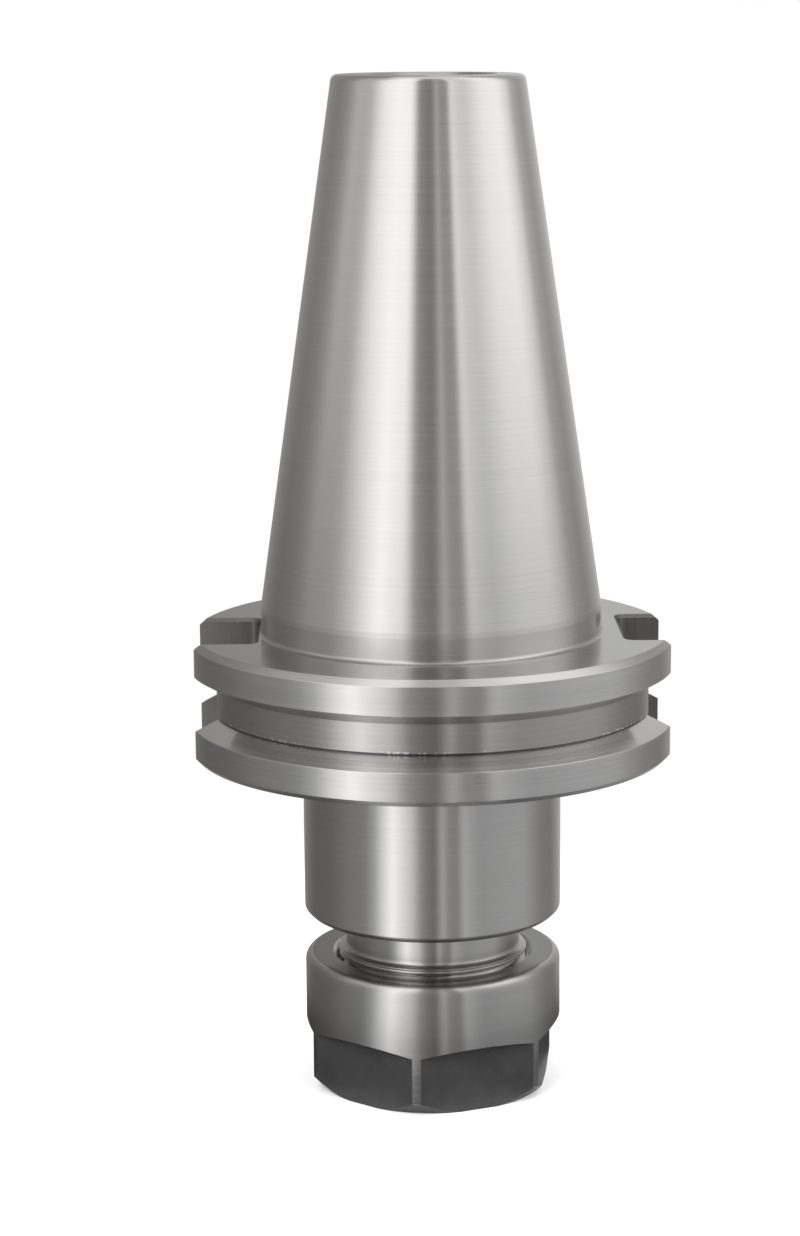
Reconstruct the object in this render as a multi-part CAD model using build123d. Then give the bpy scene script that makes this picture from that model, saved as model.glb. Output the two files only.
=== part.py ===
"""Collet chuck holder: a 40 taper V-flange shank with a size 20 spring collet and its hex nut.

Lengths are in millimetres and angles in degrees. The spindle axis is Z, the gauge line of the
taper is at z = 0, the small end of the taper points up and the clamping nut points down.
Depths named drop are measured down from the gauge line.
"""

import os
from math import cos, radians, tan

from build123d import *

# Spindle taper, 7 in 24 on the diameter
gauge_diameter = 44.45
taper_length = 68.25
taper_rate = 7 / 24
small_end_chamfer = 0.8

# Flange with the tool changer's V-groove
flange_diameter = 63.5
flange_face_drop = 3.175
flange_thickness = 15.875
flange_top_chamfer = 0.8
flange_back_chamfer = 0.7
groove_drop = 11.15
groove_mouth = 7.1
groove_depth = 2.75
groove_flank_angle = 30.0

# Two drive slots, of unequal depth, so that the holder goes in one way round
slot_width = 16.38
shallow_slot_floor = 25.0
deep_slot_floor = 22.6
slot_corner_radius = 1.2

# Cylindrical body, turned neck and threaded nose
body_diameter = 34.0
body_shoulder_drop = 41.0
body_chamfer = 0.5
neck_diameter = 23.0
neck_length = 4.0
flare_length = 0.5
nose_length = 11.75
nose_chamfer = 0.8
thread_diameter = 25.0
thread_pitch = 1.5
thread_depth_in_pitches = 0.6134

# Retention knob hole in the small end
knob_pilot_diameter = 16.3
knob_pilot_depth = 4.8
knob_pilot_chamfer = 0.6
knob_thread_minor_diameter = 13.4
knob_hole_depth = 28.4

# Bores between the knob hole and the collet socket
through_bore_diameter = 10.0
shank_bore_length = 16.0
drill_point_angle = 59.0

# Collet socket
socket_half_angle = 8.0
socket_mouth_diameter = 20.8
socket_run_on = 1.5

# Spring collet, clamping a 10 mm shank
collet_diameter = 21.0
collet_length = 31.5
collet_head_diameter = 20.0
collet_cone_half_angle = 30.0
collet_cone_length = 2.93
collet_head_rim = 0.77
collet_groove_diameter = 17.4
collet_groove_width = 1.9
collet_rear_chamfer = 0.4
collet_bore_diameter = 10.0
collet_bore_chamfer = 0.4
saw_cuts_each_end = 8
saw_cut_width = 0.7
rear_web = 4.0
front_web = 7.9

# Clamping nut
nut_diameter = 34.0
nut_length = 17.8
nut_edge_chamfer = 0.6
nut_front_chamfer = 1.8
across_flats = 30.0
flat_length = 8.3
flat_runout_angle = 30.0
flat_count = 6
nut_turn_angle = 21.2
nut_face_lead = 0.6
nut_opening_diameter = 17.0
nut_opening_chamfer = 0.3
nut_relief_above_nose = 1.4
lip_diameter = 19.2
lip_offset = 0.35
lip_thickness = 1.3

# Running clearances, measured square to the surfaces or on the radius
taper_clearance = 0.05
cone_clearance = 0.06
thread_clearance = 0.08
land_clearance = 0.2
countersink_clearance = 0.5
relief_clearance = 0.3
collet_chamber_clearance = 0.4
flange_cut_overrun = 1.0

# Heights that follow from the sizes above
flange_back = -(flange_face_drop + flange_thickness)
neck_top = -body_shoulder_drop
neck_bottom = neck_top - neck_length
land_top = neck_bottom - flare_length
nose_end = land_top - nose_length

# The socket's mouth decides how far the collet goes in, and the collet places the nut
socket_slope = tan(radians(socket_half_angle))
seat_gap = taper_clearance / cos(radians(socket_half_angle))
taper_start = nose_end - (collet_diameter / 2 - socket_mouth_diameter / 2 + seat_gap) / socket_slope
groove_front = taper_start - collet_groove_width
collet_front = groove_front - collet_head_rim - collet_cone_length
collet_rear = collet_front + collet_length
nut_face = collet_front - nut_face_lead
nut_back = nut_face + nut_length
lip_front = (groove_front + taper_start - lip_thickness) / 2

thread_root_radius = thread_diameter / 2 - thread_depth_in_pitches * thread_pitch
nut_bore_radius = thread_root_radius + thread_clearance


def turned(corners):
    """Turn a closed half section about the spindle axis. Each corner is a radius and a height."""
    with BuildPart() as piece:
        with BuildSketch(Plane.XZ):
            with BuildLine():
                Polyline(*corners, close=True)
            make_face()
        revolve(axis=Axis.Z)
    return piece.part


def holder_blank():
    """Taper, V-grooved flange, body, neck and threaded nose, turned as one piece."""
    small_end_radius = (gauge_diameter - taper_rate * taper_length) / 2
    flange_radius = flange_diameter / 2
    floor_radius = flange_radius - groove_depth
    flank_height = groove_depth * tan(radians(groove_flank_angle))
    mouth_top = -groove_drop + groove_mouth / 2
    mouth_bottom = -groove_drop - groove_mouth / 2
    body_radius = body_diameter / 2
    neck_radius = neck_diameter / 2
    land_radius = thread_diameter / 2
    land_bottom = nut_back - land_clearance
    return turned(
        [
            (0, taper_length),
            (small_end_radius - small_end_chamfer, taper_length),
            (small_end_radius + small_end_chamfer * taper_rate / 2, taper_length - small_end_chamfer),
            (gauge_diameter / 2, 0),
            (gauge_diameter / 2, -flange_face_drop),
            (flange_radius - flange_top_chamfer, -flange_face_drop),
            (flange_radius, -flange_face_drop - flange_top_chamfer),
            (flange_radius, mouth_top),
            (floor_radius, mouth_top - flank_height),
            (floor_radius, mouth_bottom + flank_height),
            (flange_radius, mouth_bottom),
            (flange_radius, flange_back + flange_back_chamfer),
            (flange_radius - flange_back_chamfer, flange_back),
            (body_radius, flange_back),
            (body_radius, neck_top + body_chamfer),
            (body_radius - body_chamfer, neck_top),
            (neck_radius, neck_top),
            (neck_radius, neck_bottom),
            (land_radius, land_top),
            (land_radius, land_bottom),
            (thread_root_radius, land_bottom - (land_radius - thread_root_radius)),
            (thread_root_radius, nose_end + nose_chamfer),
            (thread_root_radius - nose_chamfer, nose_end),
            (0, nose_end),
        ]
    )


def holder_bores():
    """Everything bored out of the holder: knob hole, through bore and collet socket."""
    pilot_radius = knob_pilot_diameter / 2
    pilot_floor = taper_length - knob_pilot_depth
    knob_radius = knob_thread_minor_diameter / 2
    knob_floor = taper_length - knob_hole_depth
    bore_radius = through_bore_diameter / 2
    point_slope = tan(radians(drill_point_angle))
    socket_top = collet_rear + socket_run_on
    shank_radius = socket_mouth_diameter / 2 - (socket_top - nose_end) * socket_slope
    shank_bore_top = socket_top + shank_bore_length
    return turned(
        [
            (0, taper_length),
            (pilot_radius + knob_pilot_chamfer, taper_length),
            (pilot_radius, taper_length - knob_pilot_chamfer),
            (pilot_radius, pilot_floor),
            (knob_radius, pilot_floor),
            (knob_radius, knob_floor),
            (bore_radius, knob_floor - (knob_radius - bore_radius) / point_slope),
            (bore_radius, shank_bore_top + (shank_radius - bore_radius) / point_slope),
            (shank_radius, shank_bore_top),
            (shank_radius, socket_top),
            (socket_mouth_diameter / 2, nose_end),
            (0, nose_end),
        ]
    )


def drive_slot(floor_distance, side):
    """The block that a drive slot takes out of the flange.

    floor_distance is from the axis to the slot's flat floor, and side is 1 for +X or -1 for -X.
    """
    outer = flange_diameter / 2 + flange_cut_overrun
    length = outer - floor_distance
    with BuildPart() as block:
        with BuildSketch(Plane.XY.offset(flange_back - flange_cut_overrun)):
            with Locations((side * (floor_distance + length / 2), 0)):
                Rectangle(length, slot_width)
        extrude(amount=flange_thickness + 2 * flange_cut_overrun)
        upright = block.edges().filter_by(Axis.Z).sort_by(Axis.X)
        inner_corners = upright[:2] if side > 0 else upright[-2:]
        fillet(inner_corners, slot_corner_radius)
    return block.part


def holder_body():
    """The finished shank: blank, less its bores and its two drive slots."""
    shank = holder_blank() - holder_bores()
    shank -= drive_slot(shallow_slot_floor, 1)
    shank -= drive_slot(deep_slot_floor, -1)
    return shank


def saw_cut(bottom, top, angle):
    """One radial saw cut through the collet's wall, between two heights."""
    reach = collet_diameter
    blade = Box(reach, saw_cut_width, top - bottom, align=(Align.MIN, Align.CENTER, Align.MIN))
    return Rot(0, 0, angle) * Pos(0, 0, bottom) * blade


def spring_collet():
    """Spring collet: front cone, head, extraction groove, long taper and alternate saw cuts."""
    taper_radius = collet_diameter / 2
    head_radius = collet_head_diameter / 2
    cone_run = collet_cone_length * tan(radians(collet_cone_half_angle))
    rear_radius = taper_radius - (collet_rear - taper_start) * socket_slope
    bore_radius = collet_bore_diameter / 2
    sleeve = turned(
        [
            (bore_radius + collet_bore_chamfer, collet_front),
            (head_radius - cone_run, collet_front),
            (head_radius, collet_front + collet_cone_length),
            (head_radius, groove_front),
            (collet_groove_diameter / 2, groove_front),
            (collet_groove_diameter / 2, taper_start),
            (taper_radius, taper_start),
            (rear_radius + collet_rear_chamfer * socket_slope, collet_rear - collet_rear_chamfer),
            (rear_radius - collet_rear_chamfer, collet_rear),
            (bore_radius, collet_rear),
            (bore_radius, collet_front + collet_bore_chamfer),
        ]
    )
    pitch_angle = 360 / saw_cuts_each_end
    overrun = collet_bore_chamfer
    cuts = []
    for index in range(saw_cuts_each_end):
        front_angle = index * pitch_angle
        rear_angle = front_angle + pitch_angle / 2
        cuts.append(saw_cut(collet_front - overrun, collet_rear - rear_web, front_angle))
        cuts.append(saw_cut(collet_front + front_web, collet_rear + overrun, rear_angle))
    return sleeve - cuts


def nut_blank():
    """The turned nut: thread bore, relief, lip, collet chamber, 30 degree seat and opening."""
    cone_slope = tan(radians(collet_cone_half_angle))
    seat_gap_radial = cone_clearance / cos(radians(collet_cone_half_angle))
    head_radius = collet_head_diameter / 2
    seat_radius = head_radius + seat_gap_radial
    seat_back = collet_front + collet_cone_length
    opening_radius = nut_opening_diameter / 2
    seat_front = seat_back - (seat_radius - opening_radius) / cone_slope
    lip_back = lip_front + lip_thickness
    lip_radius = lip_diameter / 2 - lip_offset
    chamber_radius = collet_diameter / 2 + collet_chamber_clearance
    relief_radius = thread_diameter / 2 + relief_clearance
    relief_back = nose_end + nut_relief_above_nose
    countersink_radius = thread_diameter / 2 + countersink_clearance
    countersink_bottom = nut_back - (countersink_radius - nut_bore_radius)
    outer_radius = nut_diameter / 2
    return turned(
        [
            (countersink_radius, nut_back),
            (outer_radius - nut_edge_chamfer, nut_back),
            (outer_radius, nut_back - nut_edge_chamfer),
            (outer_radius, nut_face + nut_front_chamfer),
            (outer_radius - nut_front_chamfer, nut_face),
            (opening_radius + nut_opening_chamfer, nut_face),
            (opening_radius, nut_face + nut_opening_chamfer),
            (opening_radius, seat_front),
            (seat_radius, seat_back),
            (seat_radius, lip_front),
            (lip_radius, lip_front),
            (lip_radius, lip_back),
            (chamber_radius, lip_back),
            (chamber_radius, taper_start),
            (relief_radius, taper_start),
            (relief_radius, relief_back),
            (nut_bore_radius, relief_back),
            (nut_bore_radius, countersink_bottom),
        ]
    )


def spanner_flat():
    """The block that one flat takes off, with a sloping run-out at its top, facing +X."""
    flat = across_flats / 2
    flat_top = nut_face + flat_length
    outside = nut_diameter
    runout_top = flat_top + (outside - flat) * tan(radians(flat_runout_angle))
    below = nut_face - nut_front_chamfer
    with BuildPart() as block:
        with BuildSketch(Plane.XZ):
            Polygon(
                (flat, below), (outside, below), (outside, runout_top), (flat, flat_top), align=None
            )
        extrude(amount=nut_diameter, both=True)
    return block.part


def eccentric_relief():
    """Off-centre boring that leaves the extraction lip thick on one side and thin on the other."""
    return Pos(lip_offset, 0, lip_front) * Cylinder(
        lip_diameter / 2, lip_thickness, align=(Align.CENTER, Align.CENTER, Align.MIN)
    )


def clamping_nut():
    """The clamping nut, its flats turned to where they stand when the nut is tight."""
    first_flat = nut_turn_angle + 180 / flat_count
    flats = [place * spanner_flat() for place in PolarLocations(0, flat_count, first_flat)]
    return nut_blank() - eccentric_relief() - flats


def main():
    """Write each separate piece as its own STEP file."""
    os.makedirs("parts", exist_ok=True)
    export_step(holder_body(), "parts/holder_body.step")
    export_step(spring_collet(), "parts/spring_collet.step")
    export_step(clamping_nut(), "parts/clamping_nut.step")


main()
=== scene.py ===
"""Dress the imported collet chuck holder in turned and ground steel, and stand it in a light tent.

Lengths in the classes are millimetres from the gauge line on the spindle axis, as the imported
part has them, and angles are degrees. Meshes are written in metres. Every outline is a list of
corners, radius and height, that is turned about the spindle axis Z.
"""

import logging
from dataclasses import dataclass
from enum import Enum, IntEnum
from math import ceil, cos, pi, radians, sin, tan
from typing import Union

import bpy
import numpy as np
from mathutils import Matrix, Vector

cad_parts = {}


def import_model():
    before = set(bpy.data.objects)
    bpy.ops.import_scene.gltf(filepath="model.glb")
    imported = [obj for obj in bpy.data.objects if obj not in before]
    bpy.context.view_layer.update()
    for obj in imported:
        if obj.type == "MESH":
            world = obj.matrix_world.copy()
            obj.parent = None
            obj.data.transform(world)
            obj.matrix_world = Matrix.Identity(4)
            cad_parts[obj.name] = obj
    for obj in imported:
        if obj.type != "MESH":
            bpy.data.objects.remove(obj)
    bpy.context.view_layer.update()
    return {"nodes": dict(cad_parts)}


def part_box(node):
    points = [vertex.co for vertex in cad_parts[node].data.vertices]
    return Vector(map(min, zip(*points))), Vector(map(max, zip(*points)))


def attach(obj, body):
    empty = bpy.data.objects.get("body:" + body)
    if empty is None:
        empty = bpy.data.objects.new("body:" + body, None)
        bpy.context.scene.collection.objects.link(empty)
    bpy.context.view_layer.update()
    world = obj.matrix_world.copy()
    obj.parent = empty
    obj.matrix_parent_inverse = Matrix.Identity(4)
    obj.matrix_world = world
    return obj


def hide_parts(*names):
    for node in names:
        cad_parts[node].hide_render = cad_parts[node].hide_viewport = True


MM = 0.001
INCH = 25.4
LOG = logging.getLogger("collet_chuck_holder")

Number = Union[float, "Shade"]
Tone = tuple[float, float, float]


class Node(str, Enum):
    """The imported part's nodes."""

    HOLDER = "holder_body"
    COLLET = "spring_collet"
    NUT = "clamping_nut"


class Body(str, Enum):
    """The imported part's bodies, which the pieces ride on."""

    HOLDER = "holder"
    COLLET = "collet"
    NUT = "nut"


# Shader arithmetic


class Shade:
    """A shader value that takes part in Python arithmetic: each operator adds its Math node."""

    def __init__(self, graph: "Graph", socket: bpy.types.NodeSocket) -> None:
        """Keep the graph that new nodes go to, and the socket that holds the value."""
        self.graph = graph
        self.socket = socket

    def math(self, operation: str, *others: Number) -> "Shade":
        """Add a Math node.

        Args:
            operation: the Math node's operation.
            others: its second and third values.

        Returns:
            The node's result.
        """
        inputs = dict(enumerate((self, *others)))
        return self.graph.node("ShaderNodeMath", {"operation": operation}, inputs)

    def __add__(self, other: Number) -> "Shade":
        """Add a value."""
        return self.math("ADD", other)

    __radd__ = __add__

    def __sub__(self, other: Number) -> "Shade":
        """Take a value away."""
        return self.math("SUBTRACT", other)

    def __rsub__(self, other: Number) -> "Shade":
        """Take this away from a number."""
        return self.graph.node("ShaderNodeMath", {"operation": "SUBTRACT"}, {0: other, 1: self})

    def __mul__(self, other: Number) -> "Shade":
        """Multiply by a value."""
        return self.math("MULTIPLY", other)

    __rmul__ = __mul__

    def __gt__(self, other: Number) -> "Shade":
        """Give 1 where this is greater, and 0 elsewhere."""
        return self.math("GREATER_THAN", other)

    def step(self, low: float, high: float) -> "Shade":
        """Rise smoothly from 0 at low to 1 at high.

        Args:
            low: the value at which the rise starts.
            high: the value at which it ends; it may be below low for a fall.

        Returns:
            The eased value.
        """
        return self.graph.node(
            "ShaderNodeMapRange", {"interpolation_type": "SMOOTHSTEP"}, {0: self, 1: low, 2: high}
        )


class Graph:
    """The nodes of one material or world.

    FIRST, SECOND and MIXED are the numbers of a Mix node's colour sockets.
    """

    FIRST, SECOND, MIXED = 6, 7, 2

    def __init__(self, owner: Union[bpy.types.Material, bpy.types.World]) -> None:
        """Start an empty tree on its owner.

        Args:
            owner: the material or world that the nodes belong to.
        """
        owner.use_nodes = True
        self.tree = owner.node_tree
        self.tree.nodes.clear()

    def node(
        self,
        kind: str,
        settings: dict[str, object] | None = None,
        inputs: dict[int | str, object] | None = None,
        output: int | str = 0,
    ) -> Shade:
        """Add a node of any type.

        Args:
            kind: the node's type name.
            settings: its own settings, set first; stops fills a colour ramp.
            inputs: the value or the link of each socket, by number or name.
            output: the socket to return.

        Returns:
            The chosen output, which takes part in arithmetic.
        """
        made = self.tree.nodes.new(kind)
        for name, value in (settings or {}).items():
            if name == "stops":
                self.fill_ramp(made.color_ramp, value)
            else:
                setattr(made, name, value)
        for name, value in (inputs or {}).items():
            if isinstance(value, Shade):
                self.tree.links.new(value.socket, made.inputs[name])
            else:
                made.inputs[name].default_value = value
        return Shade(self, made.outputs[output])

    @staticmethod
    def fill_ramp(ramp: bpy.types.ColorRamp, stops: list[tuple[float, Tone]]) -> None:
        """Put stops into a colour ramp.

        Args:
            ramp: the ramp, which starts with two stops.
            stops: the position and colour of each stop.
        """
        while len(ramp.elements) < len(stops):
            ramp.elements.new(1.0)
        for element, (position, tone) in zip(ramp.elements, stops):
            element.position = position
            element.color = (*tone, 1.0)

    def mix(self, factor: Number, first: object, second: object) -> Shade:
        """Blend two colours.

        Args:
            factor: 0 for the first colour, 1 for the second.
            first: a colour or its link.
            second: a colour or its link.

        Returns:
            The blended colour.
        """
        first, second = ((*v, 1.0) if isinstance(v, tuple) else v for v in (first, second))
        inputs = {0: factor, self.FIRST: first, self.SECOND: second}
        return self.node("ShaderNodeMix", {"data_type": "RGBA"}, inputs, self.MIXED)

    def noise(self, vector: Shade, scale: float, detail: float = 2.0) -> Shade:
        """Give a noise from 0 to 1 over a vector."""
        return self.node("ShaderNodeTexNoise", {}, {"Vector": vector, "Scale": scale, "Detail": detail})

    def vector(self, x: Number, y: Number, z: Number = 0.0) -> Shade:
        """Join three values into a vector."""
        return self.node("ShaderNodeCombineXYZ", {}, {0: x, 1: y, 2: z})

    def bump(self, strength: float, distance: float, height: Shade) -> Shade:
        """Give the normal that a height brings, its distance in millimetres."""
        inputs = {"Strength": strength, "Distance": distance * MM, "Height": height}
        return self.node("ShaderNodeBump", {}, inputs)

    def surface(self, kind: str, inputs: dict[int | str, object]) -> None:
        """Add the shader that the surface shows and link it to the owner's output.

        Args:
            kind: the shader's type name.
            inputs: the value or the link of each socket.
        """
        shader = self.node(kind, {}, inputs)
        owner = "World" if isinstance(self.tree.id_data, bpy.types.World) else "Material"
        output = self.tree.nodes.new(f"ShaderNodeOutput{owner}")
        self.tree.links.new(shader.socket, output.inputs["Surface"])


class SpindleCoordinates:
    """Where a point of the surface lies: its height, its radius and its place round the axis.

    lines is a vector that changes fast along the axis and slowly round it, uprights one that
    changes fast round the axis and slowly along it.
    """

    ROUND_SHARE = 0.002
    HEIGHT_SHARE = 0.03

    def __init__(self, graph: Graph) -> None:
        """Read the object coordinates and work out the radius, the length of x and y.

        Args:
            graph: the nodes of the material or world.
        """
        self.place = graph.node("ShaderNodeTexCoord", output="Object")
        self.x, self.y, self.z = (
            graph.node("ShaderNodeSeparateXYZ", {}, {0: self.place}, axis) for axis in range(3)
        )
        flat = graph.vector(self.x, self.y)
        self.radius = graph.node("ShaderNodeVectorMath", {"operation": "LENGTH"}, {0: flat}, "Value")
        self.lines = graph.vector(self.radius, self.z, (self.x + self.y) * self.ROUND_SHARE)
        self.uprights = graph.vector(self.x, self.y, self.z * self.HEIGHT_SHARE)


# Finishes


@dataclass(frozen=True)
class SteelFinish:
    """Bare steel with the marks of a lathe or a cylindrical grinder round the axis.

    tone is the metal's colour and roughness its mean roughness. line_pitch is the spacing of the
    tool marks and line_depth their height, in millimetres. stretch is the anisotropy that the
    marks too fine to see bring. blotch is how far handling varies the roughness, and contrast how
    far the marks vary the tone. The three sizes of marks are given in pitches.
    """

    name: str
    tone: Tone
    roughness: float
    line_pitch: float
    line_depth: float
    stretch: float
    blotch: float
    contrast: float

    ACROSS_THE_MARKS = 0.25
    FINE_PITCHES = 2.0
    BAND_PITCHES = 12.0
    BUMP_PITCHES = 1.6
    BUMP_STRENGTH = 0.5
    BLOTCH_SCALE = 160.0
    FINE_ROUGHNESS = 0.10
    BAND_ROUGHNESS = 0.06
    FINE_SHARE = 0.6

    def marks(self, at: SpindleCoordinates) -> Shade:
        """Give the vector that runs across the tool marks."""
        return at.lines

    def base(self, graph: Graph, at: SpindleCoordinates) -> tuple[Shade, Shade]:
        """Work out colour and roughness: fine marks, broad bands and faint blotches.

        Args:
            graph: the material's nodes.
            at: the spindle coordinates.

        Returns:
            The colour and the roughness.
        """
        across = self.marks(at)
        fine = graph.noise(across, 1 / (self.FINE_PITCHES * self.line_pitch * MM), detail=3.0)
        bands = graph.noise(across, 1 / (self.BAND_PITCHES * self.line_pitch * MM), detail=2.0)
        blotches = graph.noise(at.place, self.BLOTCH_SCALE, detail=3.0)
        roughness = self.roughness + (fine - 0.5) * self.FINE_ROUGHNESS
        roughness = roughness + (bands - 0.5) * self.BAND_ROUGHNESS + (blotches - 0.5) * self.blotch
        dark, light = (tuple(c * f for c in self.tone) for f in (1 - self.contrast, 1 + self.contrast))
        colour = graph.mix(fine * self.FINE_SHARE + bands * (1 - self.FINE_SHARE), dark, light)
        return colour, roughness

    def make(self) -> bpy.types.Material:
        """Build the material.

        Returns:
            The material, metallic all over.
        """
        material = bpy.data.materials.new(self.name)
        graph = Graph(material)
        at = SpindleCoordinates(graph)
        colour, roughness = self.base(graph, at)
        scale = 1 / (self.BUMP_PITCHES * self.line_pitch * MM)
        ridges = graph.noise(self.marks(at), scale, detail=1.0)
        graph.surface(
            "ShaderNodeBsdfPrincipled",
            {
                "Base Color": colour,
                "Metallic": 1.0,
                "Roughness": roughness,
                "Anisotropic": self.stretch,
                "Anisotropic Rotation": self.ACROSS_THE_MARKS,
                "Normal": graph.bump(self.BUMP_STRENGTH, self.line_depth, ridges),
            },
        )
        return material


@dataclass(frozen=True)
class TaperFinish(SteelFinish):
    """The ground taper, which ends a little above the gauge line in a duller turned relief."""

    relief_top: float
    relief_tone: Tone
    relief_roughness: float
    relief_fade: float = 0.12

    def base(self, graph: Graph, at: SpindleCoordinates) -> tuple[Shade, Shade]:
        """Work out colour and roughness as on other steel, then dull them below the ground part.

        Args:
            graph: the material's nodes.
            at: the spindle coordinates.

        Returns:
            The colour and the roughness.
        """
        colour, roughness = super().base(graph, at)
        high, low = self.relief_top + self.relief_fade, self.relief_top - self.relief_fade
        relief = at.z.step(high * MM, low * MM)
        colour = graph.mix(relief, colour, self.relief_tone)
        return colour, roughness + relief * self.relief_roughness


@dataclass(frozen=True)
class MilledFinish(SteelFinish):
    """Slots cut by an end mill, whose marks stand upright on the walls."""

    def marks(self, at: SpindleCoordinates) -> Shade:
        """Give the vector that runs across upright marks."""
        return at.uprights


@dataclass(frozen=True)
class GrooveFinish(SteelFinish):
    """The V-groove's turned steel, with a line of painted shade and bright burr specks at its floor's
    edge.

    Each line's fade gives how far above and below its height, in millimetres, the line is still
    whole and where it has ended.
    """

    burr_height: float
    burr_tone: Tone
    shade_line_height: float
    shade_line_tone: Tone

    SHADE_LINE_FADE = ((0.08, 0.14), (0.10, 0.12))
    BURR_FADE = ((0.06, 0.18), (0.12, 0.18))
    CLUSTER_SCALE = 95.0
    CLUSTER_RISE = (0.48, 0.56)
    SPECK_SCALE = 2000.0
    SPECK_RISE = (0.54, 0.60)
    BURR_ROUGHNESS = 0.25

    @staticmethod
    def line(at: SpindleCoordinates, height: float, fade: tuple[tuple[float, float], ...]) -> Shade:
        """Draw a thin line round the axis.

        Args:
            at: the spindle coordinates.
            height: the line's height.
            fade: its two reaches above that height, and the two below.

        Returns:
            1 on the line and 0 off it.
        """
        (whole_above, end_above), (whole_below, end_below) = fade
        under = at.z.step((height + end_above) * MM, (height + whole_above) * MM)
        return under * at.z.step((height - end_below) * MM, (height - whole_below) * MM)

    def base(self, graph: Graph, at: SpindleCoordinates) -> tuple[Shade, Shade]:
        """Work out colour and roughness as on other steel, then paint the shade line and add the
        specks.

        Args:
            graph: the material's nodes.
            at: the spindle coordinates.

        Returns:
            The colour and the roughness.
        """
        colour, roughness = super().base(graph, at)
        # Painted shade: a dark line darkens the corner at the groove floor's lower edge.
        colour = graph.mix(self.line(at, self.shade_line_height, self.SHADE_LINE_FADE), colour, self.shade_line_tone)
        clusters = graph.noise(at.place, self.CLUSTER_SCALE, detail=1.0)
        specks = graph.noise(at.place, self.SPECK_SCALE, detail=1.0)
        burr = self.line(at, self.burr_height, self.BURR_FADE)
        burr = burr * clusters.step(*self.CLUSTER_RISE) * specks.step(*self.SPECK_RISE)
        return graph.mix(burr, colour, self.burr_tone), roughness + burr * self.BURR_ROUGHNESS


@dataclass(frozen=True)
class BlackOxide:
    """Chemically blackened steel: a dark grain with pale rubbed specks.

    grain is the size of the grains and grain_depth their height, in millimetres.
    """

    name: str
    tone: Tone
    rubbed: Tone
    roughness: float
    grain: float
    grain_depth: float = 0.02

    CLOUD_GRAINS = 12.0
    CLOUD_SHARE = 0.25
    RUBBED_RISE = (0.62, 0.78)
    RUBBED_SHARE = 0.5
    GRAIN_ROUGHNESS = 0.2
    BUMP_STRENGTH = 0.4
    METALLIC = 0.3

    def make(self) -> bpy.types.Material:
        """Build the material.

        Returns:
            The material, partly metallic.
        """
        material = bpy.data.materials.new(self.name)
        graph = Graph(material)
        at = SpindleCoordinates(graph)
        grain = graph.noise(at.place, 1 / (self.grain * MM), detail=4.0)
        cloud = graph.noise(at.place, 1 / (self.CLOUD_GRAINS * self.grain * MM), detail=2.0)
        specks = grain.step(*self.RUBBED_RISE) * self.RUBBED_SHARE
        colour = graph.mix(specks + cloud * self.CLOUD_SHARE, self.tone, self.rubbed)
        graph.surface(
            "ShaderNodeBsdfPrincipled",
            {
                "Base Color": colour,
                "Metallic": self.METALLIC,
                "Roughness": self.roughness + (grain - 0.5) * self.GRAIN_ROUGHNESS,
                "Normal": graph.bump(self.BUMP_STRENGTH, self.grain_depth, grain),
            },
        )
        return material


GROUND_TAPER = TaperFinish(
    "ground_taper", (0.63, 0.62, 0.61), 0.22, 0.11, 0.004, 0.93, 0.03, 0.11,
    relief_top=0.65, relief_tone=(0.58, 0.57, 0.56), relief_roughness=0.04,
)
TURNED_FLANGE = SteelFinish("turned_flange", (0.61, 0.60, 0.59), 0.23, 0.16, 0.005, 0.92, 0.04, 0.11)
TURNED_BODY = SteelFinish("turned_body", (0.61, 0.60, 0.59), 0.22, 0.12, 0.004, 0.93, 0.03, 0.11)
FLANGE_FACE = SteelFinish("flange_face", (0.56, 0.555, 0.545), 0.15, 0.20, 0.004, 0.75, 0.03, 0.08)
# The dark line at -13.02 mm is painted shade in the groove floor's corner.
GROOVE_STEEL = GrooveFinish(
    "groove_steel", (0.48, 0.47, 0.46), 0.19, 0.22, 0.006, 0.93, 0.04, 0.11,
    burr_height=-12.80, burr_tone=(0.82, 0.81, 0.79), shade_line_height=-13.02, shade_line_tone=(0.10, 0.10, 0.10),
)
# The lower flank is a lighter copy of the groove steel: painted light.
GROOVE_FLANK_PAINTED_LIGHT = SteelFinish("groove_flank", (0.86, 0.85, 0.83), 0.22, 0.22, 0.005, 0.90, 0.05, 0.08)
# The slot walls' dark tone is painted shade: a darker copy of the milled steel.
MILLED_SLOT_PAINTED_SHADE = MilledFinish("milled_slot_painted_shade", (0.19, 0.185, 0.18), 0.42, 0.35, 0.006, 0.0, 0.08, 0.35)
BORED_STEEL = SteelFinish("bored_steel", (0.50, 0.49, 0.48), 0.32, 0.18, 0.006, 0.50, 0.05, 0.11)
COLLET_STEEL = SteelFinish("collet_steel", (0.58, 0.58, 0.57), 0.24, 0.10, 0.003, 0.60, 0.03, 0.11)
NUT_STEEL = SteelFinish("nut_steel", (0.61, 0.60, 0.59), 0.23, 0.14, 0.004, 0.92, 0.04, 0.11)
# The nut's upper face is a darker copy of the nut steel: painted shade.
NUT_TOP_PAINTED_SHADE = SteelFinish("nut_top_painted_shade", (0.30, 0.295, 0.29), 0.16, 0.14, 0.003, 0.50, 0.04, 0.15)
NUT_BLACK = BlackOxide("nut_black_oxide", (0.022, 0.022, 0.023), (0.09, 0.09, 0.09), 0.50, 0.20)


class HolderZone(IntEnum):
    """The holder's surfaces that are finished apart, in the order of its materials."""

    TAPER = 0
    FLANGE = 1
    GROOVE = 2
    SLOTS = 3
    BODY = 4
    BORES = 5
    LOWER_FLANK = 6
    UPPER_FACE = 7


class NutZone(IntEnum):
    """The nut's surfaces that are finished apart, in the order of its materials."""

    BRIGHT = 0
    BLACK = 1
    # TOP is the upper face inside its rim, given a darker steel as painted shade.
    TOP = 2


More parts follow.
